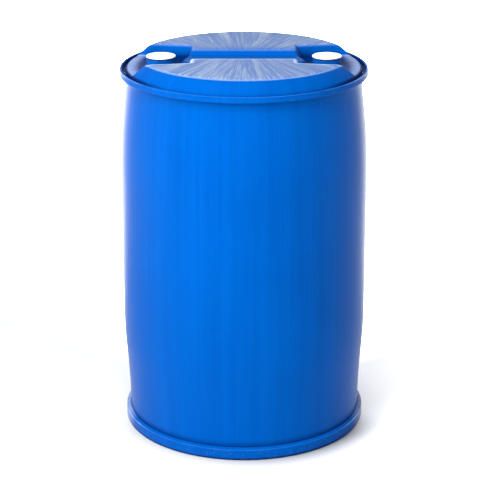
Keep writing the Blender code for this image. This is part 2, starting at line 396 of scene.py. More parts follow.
    # long scratches across the flats
    scratch = None
    for x0, y0, x1, y1, width in SCRATCHES:
        run = math.hypot(x1 - x0, y1 - y0)
        ux, uy = (x1 - x0) / run, (y1 - y0) / run
        dx, dy = n.math("SUBTRACT", x, x0), n.math("SUBTRACT", y, y0)
        along = n.add(n.math("MULTIPLY", dx, ux), n.math("MULTIPLY", dy, uy))
        bend = n.math("MULTIPLY", n.math("MULTIPLY", along, n.math("SUBTRACT", along, run)),
                      1.6)
        off = n.math("ABSOLUTE", n.add(n.math("MULTIPLY", dx, -uy),
                                       n.math("MULTIPLY", dy, ux), bend))
        one = n.math("MULTIPLY", n.math("SUBTRACT", 1.0, n.ramp(off, width * 0.3, width)),
                     n.math("MULTIPLY", n.ramp(along, 0.0, 0.008),
                            n.math("SUBTRACT", 1.0, n.ramp(along, run - 0.02, run))))
        scratch = one if scratch is None else n.math("MAXIMUM", scratch, one)
    spots = n.math("MULTIPLY", n.ramp(n.noise(pos, 120.0, 3.0, 0.6), 0.66, 0.72),
                   n.ramp(n.noise(pos, 17.0, 1.0), 0.56, 0.66))
    # the flats' pale colour is partly wear (scratches, spots, brushed scuffs) and partly painted
    # reflection: an even pale wash over each flat and bright glints
    wear_and_reflection = n.math("MULTIPLY", flat_top,
                  n.add(0.26, n.math("MULTIPLY", bright, 0.56),
                        n.math("MULTIPLY", glint, 0.36),
                        n.math("MULTIPLY", scratch, 0.60),
                        n.math("MULTIPLY", spots, 0.35)), clamp=True)
    wear_and_reflection = n.math("MULTIPLY", wear_and_reflection, n.math("MAXIMUM", n.ramp(y, -0.010, 0.010, 1.0, 0.0),
                                           n.ramp(from_groove, -0.004, 0.040, 0.45, 1.0)))
    # painted shade low in the pockets
    low = n.math("MULTIPLY", n.math("SUBTRACT", 1.0, n.ramp(z, 0.8770, 0.8990)),
                 n.math("SUBTRACT", 1.0, n.ramp(pocket, -0.0060, -0.0005)))
    low = n.math("MULTIPLY", low, n.math("SUBTRACT", 1.0, n.ramp(r, 0.240, 0.262)))
    low = n.math("MULTIPLY", low, n.ramp(z, 0.8600, 0.8660))

    # light scuffs low and high on the wall, where drums rub on each other
    belt = n.math("ADD", n.math("SUBTRACT", 1.0, n.ramp(z, 0.05, 0.24)),
                  n.ramp(z, 0.66, 0.80), clamp=True)
    rub = n.math("MULTIPLY", n.ramp(n.noise(n.around(unit, 38.0, z, 60.0), 1.0, 3.0, 0.7),
                                    0.66, 0.80), n.add(0.12, n.math("MULTIPLY", belt, 0.10)))

    tone = n.add(n.math("MULTIPLY", cloud, 0.30), n.math("MULTIPLY", wide, 0.35),
                 n.math("MULTIPLY", streak, 0.35))
    colour = n.mix(n.ramp(tone, 0.36, 0.64), BLUE_DEEP, BLUE)
    colour = n.mix(n.math("MULTIPLY", n.ramp(fine, 0.55, 0.80), 0.22), colour, BLUE_PALE)
    colour = n.mix(rub, colour, BLUE_PALE)
    # painted shade low in the pockets
    colour = n.mix(n.math("MULTIPLY", low, 0.80), colour, SHADE_NAVY)
    # painted shade in the gap between the shoulder and the ring's lip, strongest at the ±X ends
    gap_shade = n.math("MULTIPLY", n.ramp(r, 0.2715, 0.2745), n.ramp(z, 0.8610, 0.8640))
    gap_shade = n.math("MULTIPLY", gap_shade,
                    n.ramp(n.math("DIVIDE", ax, r), 0.60, 0.92, 0.15, 1.0))
    # painted shade on the wall just above the foot ring, weak at the ±X ends
    above_foot_shade = n.math("MULTIPLY", n.math("SUBTRACT", 1.0, n.ramp(z, 0.0310, 0.0480)),
                        n.ramp(n.math("DIVIDE", ax, r), 0.86, 0.98, 1.0, 0.15))
    above_foot_shade = n.math("MULTIPLY", above_foot_shade, n.ramp(r, 0.2620, 0.2700))
    # mixes in the painted shade of the ring gap and of the wall above the foot
    colour = n.mix(n.math("ADD", n.math("MULTIPLY", gap_shade, 0.85),
                          n.math("MULTIPLY", above_foot_shade, 0.42), clamp=True), colour, SHADE_NAVY)
    # pale wear on the flats, partly painted reflection
    colour = n.mix(wear_and_reflection, colour, CHALK)
    # painted reflection on the recesses' pale ends
    colour = n.mix(n.math("MULTIPLY", ends, 0.80), colour, END_REFLECTION_PALE)
    # painted highlight on the flats' edges
    colour = n.mix(edge, colour, EDGE_HIGHLIGHT)
    # painted highlight down the recesses' side edges
    colour = n.mix(down, colour, EDGE_HIGHLIGHT)

    rough = n.add(0.235, n.math("MULTIPLY", cloud, 0.07),
                  n.math("MULTIPLY", streak, 0.08), n.math("MULTIPLY", rub, 0.25))
    top_rough = n.add(0.30, n.math("MULTIPLY", bright, 0.20))
    both = n.new("ShaderNodeMix", _data_type="FLOAT")
    n.put(both.inputs[0], flat_top)
    n.put(both.inputs[2], rough)
    n.put(both.inputs[3], top_rough)

    side = n.math("SUBTRACT", 1.0, flat_top)
    height = n.add(
        n.math("MULTIPLY", n.math("MULTIPLY", streak, side), 0.55),
        n.math("MULTIPLY", n.math("MULTIPLY", fine, side), 0.14),
        n.math("MULTIPLY", peel, 0.16), n.math("MULTIPLY", pebble, 0.035),
        n.math("MULTIPLY", n.math("MULTIPLY", brushed, flat_top), 0.55))
    return n.finish(colour, both.outputs[0], n.bump(height, 0.00035, 0.8), sheen=0.06)


# where the rings' painted highlight lines run, and their colour
HIGHLIGHT_LINE_TOP = [(RING_R - 0.0012, 0.8742, 0.0014)]
HIGHLIGHT_LINE_LOW = [(RING_R - 0.0008, 0.0262, 0.0014)]
RING_EDGE_HIGHLIGHT = (0.0150, 0.110, 0.420)


def ring_material(name, low=False):
    """Compression-moulded HDPE, scuffed pale on its outer edges, with painted highlight lines,
    painted shade and, on the foot, painted reflection at its ends.
    """
    n = Nodes(name)
    pos, x, y, z, r, unit = n.coords()
    cloud = n.noise(pos, 9.0, 4.0, 0.55)
    flow = n.noise(n.around(unit, 26.0, z, 30.0), 1.0, 4.0, 0.6)
    peel = n.noise(pos, 520.0, 2.0, 0.5)
    lines = n.noise(n.around(unit, 14.0, z, 900.0), 1.0, 2.0, 0.5)
    edge = n.ramp(r, RING_R - 0.0016, RING_R - 0.0003)
    nicks = n.ramp(n.noise(n.around(unit, 75.0, z, 240.0), 1.0, 4.0, 0.7), 0.56, 0.74)
    scuff = n.math("MULTIPLY", edge, n.math("MULTIPLY", nicks, 0.22 if low else 0.12))
    colour = n.mix(n.ramp(n.add(n.math("MULTIPLY", cloud, 0.5),
                                n.math("MULTIPLY", flow, 0.5)), 0.38, 0.62),
                   BLUE_DEEP, BLUE)
    colour = n.mix(scuff, colour, CHALK)
    if low:
        dust = n.math("MULTIPLY", n.math("SUBTRACT", 1.0, n.ramp(z, 0.0, 0.012)),
                      n.ramp(n.noise(pos, 60.0, 3.0), 0.40, 0.70))
        colour = n.mix(n.math("MULTIPLY", dust, 0.10), colour, (0.06, 0.09, 0.15))
    # painted highlight lines along the ring's outer top edge
    lines_at = HIGHLIGHT_LINE_LOW if low else HIGHLIGHT_LINE_TOP
    rub = None
    for r0, z0, width in lines_at:
        dr, dz = n.math("SUBTRACT", r, r0), n.math("SUBTRACT", z, z0)
        off = n.math("SQRT", n.add(n.math("MULTIPLY", dr, dr), n.math("MULTIPLY", dz, dz)))
        one = n.math("SUBTRACT", 1.0, n.ramp(off, width * 0.45, width))
        rub = one if rub is None else n.math("MAXIMUM", rub, one)
    highlight_breakup = n.ramp(n.noise(n.around(unit, 11.0, z, 30.0), 1.0, 4.0, 0.6), 0.30, 0.65, 0.25, 0.80)
    # the painted highlight turns paler towards the ±X ends
    ends = n.ramp(n.math("DIVIDE", n.math("ABSOLUTE", x), r), 0.76, 0.97)
    colour = n.mix(n.math("MULTIPLY", rub, highlight_breakup), colour, n.mix(ends, RING_EDGE_HIGHLIGHT, RING_END_HIGHLIGHT))
    # painted shade under the rings and in the gaps by the wall
    if low:
        # painted reflection: pale streaks on the foot ring towards its ±X ends
        pale = n.math("MULTIPLY", n.ramp(n.math("DIVIDE", n.math("ABSOLUTE", x), r), 0.90, 0.995),
                      n.ramp(n.noise(n.around(unit, 60.0, z, 90.0), 1.0, 3.0, 0.6), 0.30, 0.60,
                             0.30, 0.62))
        colour = n.mix(pale, colour, END_REFLECTION_PALE)
        dark = n.math("MAXIMUM", n.math("SUBTRACT", 1.0, n.ramp(z, 0.0020, 0.0080)),
                      n.math("MULTIPLY", n.math("SUBTRACT", 1.0, n.ramp(r, 0.2812, 0.2835)),
                             n.ramp(n.math("DIVIDE", n.math("ABSOLUTE", x), r), 0.86, 0.98,
                                    1.0, 0.25)))
    else:
        # painted shade in the gap between the ring's lip and the shoulder, strongest at the ±X
        # ends
        gap_shade = n.math("MULTIPLY", n.math("SUBTRACT", 1.0, n.ramp(r, 0.2838, 0.2850)),
                        n.ramp(n.math("DIVIDE", n.math("ABSOLUTE", x), r), 0.60, 0.92,
                               0.15, 1.0))
        dark = n.math("MAXIMUM", gap_shade, n.math("SUBTRACT", 1.0, n.ramp(z, 0.8598, 0.8615)))
    colour = n.mix(n.math("MULTIPLY", dark, 0.88), colour, SHADE_NAVY)
    rough = n.add(0.28, n.math("MULTIPLY", cloud, 0.08), n.math("MULTIPLY", scuff, 0.35))
    height = n.add(n.math("MULTIPLY", peel, 0.15), n.math("MULTIPLY", lines, 0.22),
                   n.math("MULTIPLY", scuff, -0.5), n.math("MULTIPLY", flow, 0.20))
    return n.finish(colour, rough, n.bump(height, 0.0003, 0.7), sheen=0.08)


def moulded_material(name, tint=1.0):
    """Injection-moulded HDPE for the necks and plugs."""
    n = Nodes(name)
    pos, x, y, z, r, unit = n.coords()
    cloud = n.noise(pos, 30.0, 3.0, 0.5)
    tooling = n.noise(n.combine(n.math("MULTIPLY", x, 12.0), n.math("MULTIPLY", y, 12.0),
                                n.math("MULTIPLY", z, 1400.0)), 1.0, 2.0, 0.5)
    grain = n.noise(pos, 1300.0, 2.0, 0.5)
    a = tuple(c * 0.86 * tint for c in BLUE)
    b = tuple(c * 1.04 * tint for c in BLUE)
    rub = n.ramp(n.noise(pos, 160.0, 4.0, 0.65), 0.62, 0.78)
    colour = n.mix(n.ramp(cloud, 0.35, 0.65), a, b)
    colour = n.mix(n.math("MULTIPLY", rub, 0.10), colour, BLUE_PALE)
    rough = n.add(0.30, n.math("MULTIPLY", cloud, 0.08), n.math("MULTIPLY", rub, 0.10))
    height = n.add(n.math("MULTIPLY", tooling, 0.25), n.math("MULTIPLY", grain, 0.12))
    return n.finish(colour, rough, n.bump(height, 0.0002, 0.6))


def white_material():
    """White LDPE: smooth, with faint flow marks and a little handling dirt."""
    n = Nodes("white_ldpe")
    pos, x, y, z, r, unit = n.coords()
    cloud = n.noise(pos, 35.0, 3.0, 0.5)
    flow = n.noise(pos, 140.0, 4.0, 0.6, 0.8)
    grain = n.noise(pos, 1600.0, 2.0, 0.5)
    dirt = n.math("MULTIPLY", n.ramp(n.noise(pos, 70.0, 4.0, 0.65), 0.60, 0.80), 0.20)
    colour = n.mix(n.ramp(cloud, 0.35, 0.65), (0.86, 0.87, 0.86), (0.92, 0.925, 0.915))
    colour = n.mix(dirt, colour, (0.70, 0.71, 0.69))
    rough = n.add(0.34, n.math("MULTIPLY", flow, 0.12))
    height = n.add(n.math("MULTIPLY", flow, 0.30), n.math("MULTIPLY", grain, 0.10))
    return n.finish(colour, rough, n.bump(height, 0.00015, 0.5), specular=0.4,
                    tint=(1.0, 1.0, 1.0))


def rubber_material():
    n = Nodes("epdm_rubber")
    pos, x, y, z, r, unit = n.coords()
    cloud = n.noise(pos, 120.0, 4.0, 0.6)
    grain = n.noise(pos, 2200.0, 2.0, 0.6)
    colour = n.mix(n.ramp(cloud, 0.35, 0.70), (0.012, 0.012, 0.013), (0.034, 0.034, 0.036))
    rough = n.add(0.58, n.math("MULTIPLY", cloud, 0.22))
    return n.finish(colour, rough, n.bump(grain, 0.0001, 0.6), specular=0.35,
                    tint=(1.0, 1.0, 1.0))


# ------------------------------------------------------------------ the head
def smooth_curve(points, rounds=3):
    """Corner cutting that keeps the two ends."""
    p = np.array(points, float)
    for _ in range(rounds):
        a = p[:-1] * 0.75 + p[1:] * 0.25
        b = p[:-1] * 0.25 + p[1:] * 0.75
        mid = np.empty((2 * len(a), 2))
        mid[0::2], mid[1::2] = a, b
        p = np.vstack([p[:1], mid, p[-1:]])
    return p


POCKET_SIDE = smooth_curve([
    (0.0500, 0.0868), (0.1000, 0.0874), (0.1218, 0.0886), (0.1320, 0.0902),
    (0.1550, 0.0948), (0.1800, 0.0995), (0.2050, 0.1035), (0.2350, 0.1045),
    (0.2700, 0.1040), (0.3300, 0.1030)])


def side_distance(x, y):
    """Signed plan distance to the pockets' front and back edges, negative
    between them."""
    px, py = np.abs(x).ravel(), np.abs(y).ravel()
    best = np.full(px.shape, 1e9)
    inside = px > 0.33
    for (ax, ay), (bx, by) in zip(POCKET_SIDE[:-1], POCKET_SIDE[1:]):
        dx, dy = bx - ax, by - ay
        t = np.clip(((px - ax) * dx + (py - ay) * dy) / (dx * dx + dy * dy), 0, 1)
        best = np.minimum(best, np.hypot(px - ax - t * dx, py - ay - t * dy))
        span = (px > ax) & (px <= bx)
        inside |= span & (py < ay + (px - ax) * dy / dx)
    return np.where(inside, -best, best).reshape(x.shape)


def inner_edge(y):
    """How far out the pockets' inner edges lie. The groove's floor reaches
    past them like a spout."""
    t = np.clip(np.abs(y) / 0.0400, 0, 1)
    return POCKET_INNER + SPOUT * (1 - t * t) ** 2


def pocket_distance(x, y):
    """Signed plan distance to the pockets' edges at the flats' level."""
    return round_and(side_distance(x, y), inner_edge(y) - np.abs(x), 0.0050)


def round_and(a, b, rad):
    u, v = np.maximum(rad + a, 0), np.maximum(rad + b, 0)
    return np.minimum(-rad, np.maximum(a, b)) + np.hypot(u, v)


def round_or(a, b, rad):
    return -round_and(-a, -b, rad)


def shoulder(r):
    """Level and slope of the shoulder's cone, slightly convex."""
    t = r - 0.2430
    return 0.9052 - 0.70 * t - 8.2 * t * t, -0.70 - 16.4 * t


def head_solid(x, y, z, plan):
    """Below zero in the plastic's outer shape of the head."""
    r = np.hypot(x, y)
    level, slope = shoulder(np.maximum(r, 0.2150))
    crown = round_and(z - HEIGHT, (z - level) / np.sqrt(1 + slope * slope), 0.0060)
    lean = 1.0 / math.sqrt(1 + DRAFT * DRAFT)
    inner = ((inner_edge(y) + INNER_SLOPE * (HEIGHT - z) - np.abs(x))
             / math.sqrt(1 + INNER_SLOPE ** 2))
    pocket = round_and((plan + DRAFT * (HEIGHT - z)) * lean, inner, 0.0055)
    pocket = round_and(pocket, POCKET_FLOOR - z, 0.0060)
    groove = round_and((np.abs(y) - GROOVE_HALF + DRAFT * (HEIGHT - z)) * lean,
                       GROOVE_FLOOR - z, 0.0065)
    cut = round_or(pocket, groove, 0.0060)
    return round_and(crown, -cut, 0.0042)


def head_height(x, y, offset=0.0):
    plan = side_distance(x, y)
    lo = np.full(x.shape, 0.855)
    hi = np.full(x.shape, HEIGHT + 0.001)
    for _ in range(26):
        mid = (lo + hi) / 2
        inside = head_solid(x, y, mid, plan) < -offset
        lo, hi = np.where(inside, mid, lo), np.where(inside, hi, mid)
    return (lo + hi) / 2


def graded(spans):
    """Positions from (start, end, step) spans."""
    out = []
    for a, b, step in spans:
        k = max(1, int(round((b - a) / step)))
        out += list(np.linspace(a, b, k, endpoint=False))
    out.append(spans[-1][1])
    return np.array(out)


def quadrant_angles(coarse, fine):
    """Columns: close together at the pockets' side walls and at the parting
    line on X, which the two halves of the mould leave."""
    q = graded([(0.0, 0.12, 0.12), (0.12, 0.32, 0.20), (0.32, 0.8, 0.48),
                (0.8, 18.0, coarse), (18.0, 38.0, fine), (38.0, 50.0, coarse * 0.6),
                (50.0, 90.0, coarse)])
    full = np.concatenate([q[:-1], 180.0 - q[::-1][:-1], 180.0 + q[:-1],
                           360.0 - q[::-1][:-1]])
    return np.radians(full)


def wall_radius(z):
    """Body radius by a smooth interpolation of the stations."""
    zs = np.array([s[0] for s in BODY])
    rs = BELLY_R - np.array([s[1] for s in BODY])
    slope = np.gradient(rs, zs)
    slope[(zs >= 0.299) & (zs <= 0.601)] = 0.0
    slope[-1] = 0.0
    z = np.clip(z, zs[0], zs[-1])
    i = np.clip(np.searchsorted(zs, z) - 1, 0, len(zs) - 2)
    h = zs[i + 1] - zs[i]
    t = (z - zs[i]) / h
    return ((2 * t**3 - 3 * t**2 + 1) * rs[i] + (t**3 - 2 * t**2 + t) * h * slope[i]
            + (-2 * t**3 + 3 * t**2) * rs[i + 1] + (t**3 - t**2) * h * slope[i + 1])


def wall_ripple(angle, z):
    """The slow unevenness of a blown wall, inwards only, dying out at the
    rings."""
    fade = np.clip((z - 0.05) / 0.10, 0, 1) * np.clip((0.82 - z) / 0.10, 0, 1)
    w = (np.sin(3 * angle + 5.0 * z + 0.4) + 0.8 * np.sin(5 * angle - 7.0 * z + 2.1)
         + 0.6 * np.sin(11 * angle + 3.0 * z + 1.3) + 0.5 * np.sin(17 * angle - 2.0 * z)
         + 0.7 * np.sin(23.0 * z + 2 * angle))
    return -0.00011 * fade * (w + 3.6)


def parting_ridge(angle, r):
    """Thin line that the mould's halves leave at +X and -X."""
    across = np.minimum(np.abs(np.sin(angle)), 1.0) * r
    return 0.00028 * np.exp(-(across / 0.0009) ** 2)


def build_shell(material):
    angles = quadrant_angles(0.95, 0.30)
    radii = graded([(0.006, 0.040, 0.0055), (0.040, 0.058, 0.0010),
                    (0.058, 0.114, 0.0022), (0.114, 0.164, 0.0011),
                    (0.164, 0.228, 0.0030), (0.228, 0.256, 0.0016),
                    (0.256, 0.2738, 0.0022)])
    A, R = np.meshgrid(angles, radii)
    X, Y = R * np.cos(A), R * np.sin(A)
    Z = head_height(X, Y)
    head = np.stack([X, Y, Z], -1)[::-1]               # from the rim inwards

    # the lower corner, the wall and the shoulder's foot, bottom to top
    base = rounded([(0.0300, 0.01395, 0), (0.1500, 0.0125, 0.3),
                    (0.2150, 0.0090, 0.10), (0.2530, 0.0046, 0.03),
                    (0.2680, 0.0040, 0.010), (0.2795, 0.0135, 0.012),
                    (0.2798, 0.0330, 0)], 6, closed=False)
    z_wall = graded([(0.0345, 0.055, 0.006), (0.055, 0.275, 0.0105),
                     (0.275, 0.620, 0.0290), (0.620, 0.846, 0.0100)])
    foot = [(0.27665, 0.8500), (0.27665, 0.8560), (0.27665, 0.8620),
            (0.27665, 0.8665), (0.27660, 0.8690), (0.27635, 0.8712),
            (0.27590, 0.8730), (0.27520, 0.8743), (0.27440, 0.87535)]
    profile = []
    for r, z in base[:-1]:
        profile.append((np.full(len(angles), r), z))
    for z in z_wall:
        r = wall_radius(z) + wall_ripple(angles, z) + parting_ridge(angles, 0.29)
        profile.append((r, z))
    for r, z in foot:
        profile.append((np.full(len(angles), r), z))
    wall = spin_rows(profile, angles)
    # the pinch-off weld across the base, along the parting plane
    low = wall[: len(base) - 1]
    rr = np.hypot(low[..., 0], low[..., 1])
    weld = (0.0016 * np.exp(-(low[..., 1] / 0.0024) ** 2)
            * np.clip((0.235 - rr) / 0.02, 0, 1))
    low[..., 2] -= weld
    rows = np.concatenate([wall, head], 0)
    v1, f1 = rows_to_mesh(rows, False, start=(0, 0, 0.0140 - 0.0016),
                          end=(0, 0, GROOVE_FLOOR))

    # inside: one wall thickness in, coarser, facing the cavity
    inner_angles = angles[::3]
    radii = graded([(0.010, 0.040, 0.010), (0.040, 0.060, 0.0025),
                    (0.060, 0.114, 0.0060), (0.114, 0.164, 0.0030),
                    (0.164, 0.225, 0.0060), (0.225, 0.2700, 0.0035)])
    A, R = np.meshgrid(inner_angles, radii)
    X, Y = R * np.cos(A), R * np.sin(A)
    head = np.stack([X, Y, head_height(X, Y, WALL)], -1)[::-1]
    profile = [(0.030, 0.0183), (0.150, 0.0168), (0.2150, 0.0131),
               (0.2510, 0.0090), (0.2640, 0.0084), (0.2710, 0.0110),
               (0.2750, 0.0165), (0.2757, 0.0330)]
    profile += [(float(wall_radius(z)) - WALL - 0.0008, z)
                for z in graded([(0.055, 0.275, 0.022), (0.275, 0.620, 0.115),
                                 (0.620, 0.846, 0.020)])]
    profile += [(0.27265, 0.8560), (0.27265, 0.8660), (0.2722, 0.8690),
                (0.2712, 0.8705)]
    wall = spin_rows([(np.full(len(inner_angles), r), z) for r, z in profile],
                     inner_angles)
    rows = np.concatenate([wall, head], 0)
    v2, f2 = rows_to_mesh(rows, False, start=(0, 0, 0.0184),
                          end=(0, 0, GROOVE_FLOOR - WALL))
    f2 = [tuple(reversed(f)) for f in f2]
    k = len(v1)
    faces = f1 + [tuple(i + k for i in f) for f in f2]
    shell = mesh_object("drum_body", np.vstack([v1, v2]), faces, material)

    # the two holes that the necks pass through
    cutters = []
    for side in ("left", "right"):
        ring = spin_rows([(0.0337, 0.850), (0.0337, 0.889)], even_angles(96))
        v, f = rows_to_mesh(ring, False, start=(0, 0, 0.850), end=(0, 0, 0.889))
        v[:, 0] += NECK_X[side]
        cutters.append((v, f))
    (va, fa), (vb, fb) = cutters
    tool = mesh_object("hole_tool", np.vstack([va, vb]),
                       list(fa) + [tuple(i + len(va) for i in f) for f in fb], None)
    mod = shell.modifiers.new("holes", "BOOLEAN")
    mod.operation, mod.solver, mod.object = "DIFFERENCE", "EXACT", tool
    apply_modifiers(shell)
    bpy.data.objects.remove(tool, do_unlink=True)
    count = len(shell.data.vertices)
    place = np.empty(count * 3)
    shell.data.vertices.foreach_get("co", place)
    place = place.reshape(-1, 3)
    edge = shell.data.attributes.new("pocket_edge", "FLOAT", "POINT")
    edge.data.foreach_set("value", pocket_distance(place[:, 0], place[:, 1]))
    shell.data.shade_smooth()
    shell.data.set_sharp_from_angle(angle=math.radians(50))
    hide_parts("drum_shell")
    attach(shell, "drum")
    return shell


# ----------------------------------------------------------------- the rings
def turned(name, section, angles, material, x=0.0, ridge=0.0, sharp=50.0):
    """A closed section of (r, z) points spun round Z at x."""
    rows = spin_rows([(np.full(len(angles), r), z) for r, z in section], angles)
    if ridge:
        rr = np.hypot(rows[..., 0], rows[..., 1])
        push = parting_ridge(angles, 0.29)[None, :] * ridge / 0.00028
        outer = rr > RING_R - 0.0040
        grow = np.where(outer, 1.0 + push / rr, 1.0)
        rows[..., 0] *= grow
        rows[..., 1] *= grow
    v, f = rows_to_mesh(rows, True)
    v = np.array(v)
    v[:, 0] += x
    return outward(mesh_object(name, v, f, material, sharp=sharp))


def build_rings(top_material, low_material):
    angles = quadrant_angles(0.95, 0.95)
    inner = 0.2767 + GAP
    out = RING_R - 0.0003
    top = rounded([(inner, 0.8600, 0), (out, 0.8600, 0.0016),
                   (out, 0.8660, 0.0010), (out - 0.0007, 0.8668, 0.0010),
                   (out - 0.0007, 0.8745, 0.0014), (0.2846, 0.8745, 0.0014),
                   (0.2828, 0.8650, 0.0022), (inner, 0.8650, 0)], 5)
    ring = turned("lifting_ring", top, angles, top_material, ridge=0.00028)
    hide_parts("top_l_ring")
    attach(ring, "drum")

    low = rounded([(0.2560, 0.0, 0), (out, 0.0, 0.0040), (out, 0.0262, 0.0016),
                   (0.2832, 0.0300, 0.0030), (0.2803, 0.0322, 0.0006),
                   (0.2801, 0.0200, 0), (0.2798, 0.0133, 0.006),
                   (0.2682, 0.0036, 0.008), (0.2560, 0.0037, 0)], 5)
    ring = turned("foot_ring", low, angles, low_material, ridge=0.00028)
    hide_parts("bottom_ring")
    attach(ring, "drum")


# -------------------------------------------------------------- the closures
def thread_rows(side, z_low, z_high, grow, fade_low, fade_high, angles):
    """Rows of a thread's surface: the plug's when grow is 0, the neck's when
    it is the clearance. It runs out to the plain radius at faded ends."""
    pitch = PITCH[side]
    depth = 0.0016 if side == "left" else 0.0013
    major = THREAD_R[side] - 0.0001
    count = int(round((z_high - z_low) / pitch * 10))
    rows = []
    for z in np.linspace(z_low, z_high, count + 1):
        phase = np.mod((z - NECK_TOP) / pitch - angles / (2 * math.pi), 1.0)
        if side == "left":                              # buttress: steep under, sloped over
            up = np.clip((phase - 0.02) / 0.12, 0, 1)
            down = np.clip((phase - 0.42) / 0.42, 0, 1)
        else:                                           # symmetric 55 degree form
            up = np.clip((phase - 0.04) / 0.34, 0, 1)
            down = np.clip((phase - 0.52) / 0.34, 0, 1)
        ridge = (up * up * (3 - 2 * up)) * (1 - down * down * (3 - 2 * down))
        body = min(1.0, (z - z_low) / fade_low if fade_low else 1.0,
                   (z_high - z) / fade_high if fade_high else 1.0)
        if grow:                                        # the neck opens out at its ends
            r = major + grow - depth * (1 - ridge) * max(body, 0.0)
        else:                                           # the plug thins down
            r = major - depth * (1 - ridge * max(body, 0.0))
        rows.append((r, z))
    return rows


def closed_rows(name, profile, angles, x, material, start=None, end=None, sharp=42.0):
    full = [(np.broadcast_to(r, angles.shape), z) for r, z in profile]
    rows = spin_rows(full, angles)
    v, f = rows_to_mesh(rows, start is None and end is None, start, end)
    v = np.array(v)
    v[:, 0] += x
    return outward(mesh_object(name, v, f, material, sharp=sharp))


def build_closure(side, blue, plug_blue, rubber, white):
    x = NECK_X[side]
    n = 120
    angles = even_angles(n)
    rim = NECK_TOP
    major = THREAD_R[side] - 0.0001
    clear = 0.0004

    # neck: fillet onto the pocket's floor, a bead under the rim, the thread
    z0 = 0.8640
    outer = rounded([(major + 0.0030, z0, 0), (0.0334, z0, 0.0006),
                     (0.0419, z0 + 0.0026, 0.0008), (0.0419, 0.8717, 0.0004),
                     (0.0334, 0.8717, 0), (0.0334, POCKET_FLOOR + 0.0004, 0),
                     (0.0364, POCKET_FLOOR + 0.0004, 0.0002),
                     (0.0358, POCKET_FLOOR + 0.0011, 0.0006),
                     (0.0335, POCKET_FLOOR + 0.0034, 0.0022),
                     (0.0333, rim, 0.0007), (major + 0.0010, rim, 0.0004)],
                    4, closed=False)
    bore = thread_rows(side, z0 + 0.0012, rim - 0.0010, clear, 0.0030, 0.0040, angles)
    profile = outer + list(reversed(bore))
    neck = closed_rows("bung_neck_" + side, profile, angles, x, blue)
    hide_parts("neck_" + side)
    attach(neck, "drum")

    # gasket: a flat ring with rounded edges
    g0, g1 = rim + GAP, rim + GAP + 0.0014
    ring_in = THREAD_R[side] + 0.0004
    section = rounded([(ring_in, g0, 0.0004), (0.0325, g0, 0.0005),
                       (0.0325, g1, 0.0005), (ring_in, g1, 0.0004)], 4)
    gasket = closed_rows("bung_seal_" + side, section, angles, x, rubber)
    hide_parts("gasket_" + side)
    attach(gasket, side + "_seal")

    # plug: threaded cup with a flange and four wrench lugs in its socket
    f0 = g1 + GAP
    f1 = f0 + 0.0027
    foot = f0 - 0.0190
    floor = foot + 0.0050
    socket = SOCKET_R[side]
    lug = np.abs(np.mod(angles - math.radians(45) + math.pi / 4, math.pi / 2) - math.pi / 4)
    is_lug = np.clip((0.17 - lug) / 0.045, 0, 1)
    lug_r = socket - 0.0003 - is_lug * (socket - 0.0153)
    knurl = 0.00022 * np.clip(np.cos(angles * 40) * 1.6, -1, 1)
    thread = thread_rows(side, foot + 0.0010, f0 - 0.0010, 0.0, 0.0030, 0.0022, angles)
    under = [(0.0050, floor - 0.0028), (socket - 0.0010, floor - 0.0028),
             (socket + 0.0002, floor - 0.0034), (socket + 0.0006, floor - 0.0040),
             (socket + 0.0009, foot + 0.0002), (socket + 0.0012, foot),
             (THREAD_R[side] - 0.0024, foot), (THREAD_R[side] - 0.0019, foot + 0.0004)]
    flange = [(major - 0.0015, f0 - 0.0002), (major - 0.0013, f0)]
    flange += [(0.0327, f0), (0.0332 + knurl * 0.5, f0 + 0.0003), (0.0332 + knurl, f0 + 0.0006),
               (0.0332 + knurl, f1 - 0.0007), (0.0330 + knurl * 0.4, f1 - 0.0002),
               (0.0326, f1)]
    top = [(socket + 0.0006, f1), (socket + 0.0001, f1 - 0.0002),
           (socket, f1 - 0.0007), (socket - 0.0002, floor + 0.0078)]
    top += [(socket - 0.00025, floor + 0.0073), (lug_r + 0.0004, floor + 0.0072),
            (lug_r, floor + 0.0067), (lug_r, floor + 0.0012),
            (lug_r - 0.0004, floor + 0.0003), (lug_r - 0.0012, floor),
            (0.0120, floor), (0.0112, floor + 0.0006), (0.0060, floor + 0.0006)]
    profile = under + thread + flange + top
    plug = closed_rows("bung_plug_" + side, profile, angles, x, plug_blue,
                       start=(0, 0, floor - 0.0028), end=(0, 0, floor + 0.0006))
    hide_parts("plug_" + side)
    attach(plug, side + "_plug")

    # cap: a flat disc with a rolled edge and a snap ring under it
    c0 = f1 + GAP
    c1 = c0 + 0.0020
    out = socket - 0.0004
    section = rounded([(0.0040, c0, 0), (out - 0.0014, c0, 0.0005),
                       (out - 0.0014, c0 - 0.0044, 0.0003),
                       (out - 0.0004, c0 - 0.0044, 0.0004),
                       (out, c0 - 0.0037, 0.0006), (out - 0.0003, c0 - 0.0028, 0.0006),
                       (out - 0.0003, c0, 0.0003), (0.0346, c0, 0.0004),
                       (0.0346, c1, 0.0009), (0.0322, c1, 0.0006),
                       (0.0316, c1 - 0.0003, 0.0006), (0.0040, c1 - 0.0003, 0),
                       ], 4, closed=False)
    section += [(0.0026, c1 - 0.0003), (0.0021, c1 - 0.00005), (0.0012, c1 - 0.00005)]
    cap = closed_rows("bung_cap_" + side, section, angles, x, white,
                      start=(0, 0, c0), end=(0, 0, c1 - 0.00005))
    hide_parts("cap_" + side)
    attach(cap, side + "_cap")


